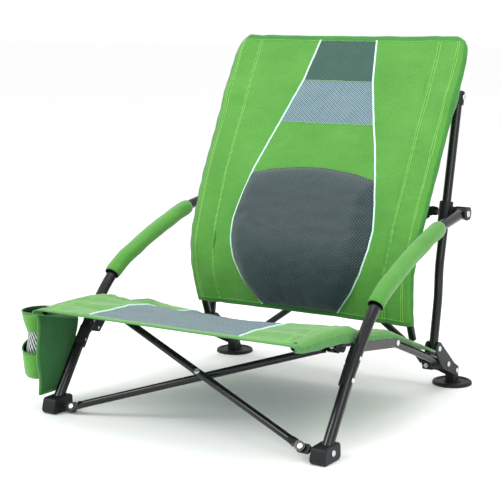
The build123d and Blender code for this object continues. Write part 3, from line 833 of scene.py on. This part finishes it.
panel_cols = span(0, 1, 26) + [1.0]
panel_rows = span(0, 1, 34) + [1.0]
# The hanging panel takes the darker green cloth with its painted shade
panel = cloth_grid("pocket_panel", panel_cols, panel_rows, panel_place, [leaf_painted_shade], lambda c, s: 0,
                   0.0018, lambda c, s: (c * 0.12, s * 0.166))
def strap_place(u, v):
    """Cloth from the seat's edge (v 0) over to the top of the panel (v 1)."""
    y = -0.052 + 0.152 * u
    share = float(np.interp(y, seat_line.p[:, 0], seat_line.s)) / seat_line.length
    inner = seat_place(-2.18, share)
    outer = panel_place(min(1.0, max(0.0, (y + 0.024) / 0.124)), 0)
    p = inner.lerp(outer, v)
    p.y = y
    p.z -= 0.004 * math.sin(v * math.pi) - 0.0025 * ripple((y, v, 0), 40, 8.0)
    return p


strap = cloth_grid("pocket_strap", span(0, 1, 34) + [1.0], span(0, 1, 10) + [1.0], strap_place, [leaf],
                   lambda c, s: 0, CLOTH, lambda c, s: (c * 0.15, s * 0.05))
rim = [panel_place(u, 0) for u in np.linspace(1, 0, 30)]
rim += [panel_place(0, v) for v in np.linspace(0, 1, 40)][1:]
rim += [panel_place(u, 1) for u in np.linspace(0, 1, 12)][1:]
rim += [panel_place(1, v) for v in np.linspace(1, 0, 30)][1:]
panel_edge = tube_along("pocket_panel_hem", [tuple(p) for p in rim], 0.0032, leaf_hem, 8)


def spun(name, profile, mats, bands, thickness, tilt=0.0, squash=0.92):
    """Round cloth wall spun from (radius, height) points, squeezed flat across the chair."""
    bm = bmesh.new()
    line = [bm.verts.new((r, 0, z)) for r, z in profile]
    edges = [bm.edges.new((a, b)) for a, b in zip(line[:-1], line[1:])]
    bmesh.ops.spin(bm, geom=line + edges, cent=(0, 0, 0), axis=(0, 0, 1), angle=math.tau, steps=48, use_merge=True)
    bmesh.ops.remove_doubles(bm, verts=bm.verts, dist=1e-5)
    bmesh.ops.recalc_face_normals(bm, faces=bm.faces)
    layer = bm.loops.layers.uv.new("UVMap")
    for f in bm.faces:
        z = f.calc_center_median().z
        f.material_index = next((m for lo, hi, m in bands if lo <= z < hi), 0)
        for loop in f.loops:
            around = math.atan2(loop.vert.co.y, -loop.vert.co.x)
            loop[layer].uv = (around * 0.038, loop.vert.co.z)
    for v in bm.verts:
        angle = math.atan2(v.co.y, v.co.x)
        wob = 1 + 0.03 * ripple((math.cos(angle), math.sin(angle), v.co.z * 12), 1.2, 6)
        z = v.co.z + tilt * v.co.y / 0.04 * min(1.0, max(0.0, (v.co.z - 0.06) / 0.06))
        v.co = Vector((CUP.x + v.co.x * squash * wob, CUP.y + v.co.y * 1.02 * wob, z))
    ob = finish_mesh(bm, name, mats)
    solid = ob.modifiers.new("wall", "SOLIDIFY")
    solid.thickness = thickness
    solid.offset = -1
    if len(mats) > 2:
        solid.material_offset = 2
    return ob


COLLAR_SHAPE = [(0.0385, 0.199), (0.0375, 0.192), (0.0345, 0.178), (0.030, 0.164), (0.0275, 0.157),
                (0.0265, 0.150), (0.0275, 0.138), (0.030, 0.124), (0.0315, 0.110)]
POUCH_SHAPE = [(0.0395, 0.131), (0.0395, 0.122), (0.0385, 0.105), (0.037, 0.085), (0.035, 0.068),
               (0.031, 0.061), (0.020, 0.0585), (0.0, 0.058)]
collar = spun("cup_collar", COLLAR_SHAPE, [leaf_object, net, lining], [(0.156, 0.3, 0), (0.0, 0.156, 1)], 0.0015)
pouch = spun("cup_pouch", POUCH_SHAPE, [leaf_object, lining, lining], [(0.0, 0.3, 0)], 0.0018, 0.016)


def bound_rim(name, radius, height, tilt):
    """Bound edge round a cup's mouth, tilted like the wall under it."""
    ring = []
    for t in np.linspace(0, math.tau, 48, endpoint=False):
        ring.append((CUP.x + math.cos(t) * radius * 0.92, CUP.y + math.sin(t) * radius * 1.02,
                     height + tilt * math.sin(t) * radius / 0.04))
    return tube_along(name, ring, 0.0014, leaf_hem, 8, True)


collar_rim = bound_rim("cup_collar_rim", 0.0385, 0.199, 0.0)
pouch_rim = bound_rim("cup_pouch_rim", 0.0395, 0.131, 0.016)

# ------------------------------------------------------------------ riding
for ob in (back_cloth, back_piping, back_seams, back_cross_seams, pad):
    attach(ob, "post_l")
    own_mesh(ob)
for ob in (seat_cloth, seat_piping, seat_seams):
    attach(ob, "rail_l")
    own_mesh(ob)
for ob in (panel, panel_edge, strap, collar, pouch, collar_rim, pouch_rim):
    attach(ob, "rail_l")
for side, ob in sleeves.items():
    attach(ob, "leg_r" if side > 0 else "leg_l")
    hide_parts("arm_sleeve_r" if side > 0 else "arm_sleeve_l")
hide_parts("back_fabric")
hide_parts("lumbar_pad")
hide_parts("seat_fabric")
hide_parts("side_pocket")

# ------------------------------------------------------------------ stage, light, camera
bm = bmesh.new()
bmesh.ops.create_grid(bm, x_segments=1, y_segments=1, size=30.0)
floor_finish = Finish("pale_floor", (0.985, 0.985, 0.985, 1), 0.8, 0.0, 0.3)
floor = finish_mesh(bm, "studio_floor", [floor_finish], False)
floor.location = (0, 0, -0.0005)

world = bpy.data.worlds.new("studio")
bpy.context.scene.world = world
world.use_nodes = True
world.node_tree.nodes["Background"].inputs["Color"].default_value = (1, 1, 1, 1)
world.node_tree.nodes["Background"].inputs["Strength"].default_value = 1.0


def area(name, place, target, size, power):
    data = bpy.data.lights.new(name, "AREA")
    data.shape = "RECTANGLE"
    data.size, data.size_y = size
    data.energy = power
    ob = bpy.data.objects.new(name, data)
    bpy.context.scene.collection.objects.link(ob)
    ob.location = place
    ob.rotation_euler = (Vector(target) - Vector(place)).to_track_quat("-Z", "Y").to_euler()


area("key_light", (-1.6, -2.2, 2.6), (0, 0.2, 0.35), (1.6, 1.6), 60)
area("fill_light", (2.6, -1.2, 1.6), (0, 0.3, 0.3), (1.2, 1.8), 24)
area("top_light", (0.2, 0.6, 2.8), (0, 0.3, 0.2), (2.0, 2.0), 30)

camera_data = bpy.data.cameras.new("studio_camera")
camera_data.lens = 100.3
camera_data.sensor_width = 36.0
camera = bpy.data.objects.new("studio_camera", camera_data)
bpy.context.scene.collection.objects.link(camera)
camera.location = (1.476, -2.120, 0.796)
camera.rotation_euler = (Vector((0.14, 0.02, 0.37)) - Vector(camera.location)).to_track_quat("-Z", "Y").to_euler()
bpy.context.scene.camera = camera
bpy.context.scene.view_settings.view_transform = "Standard"
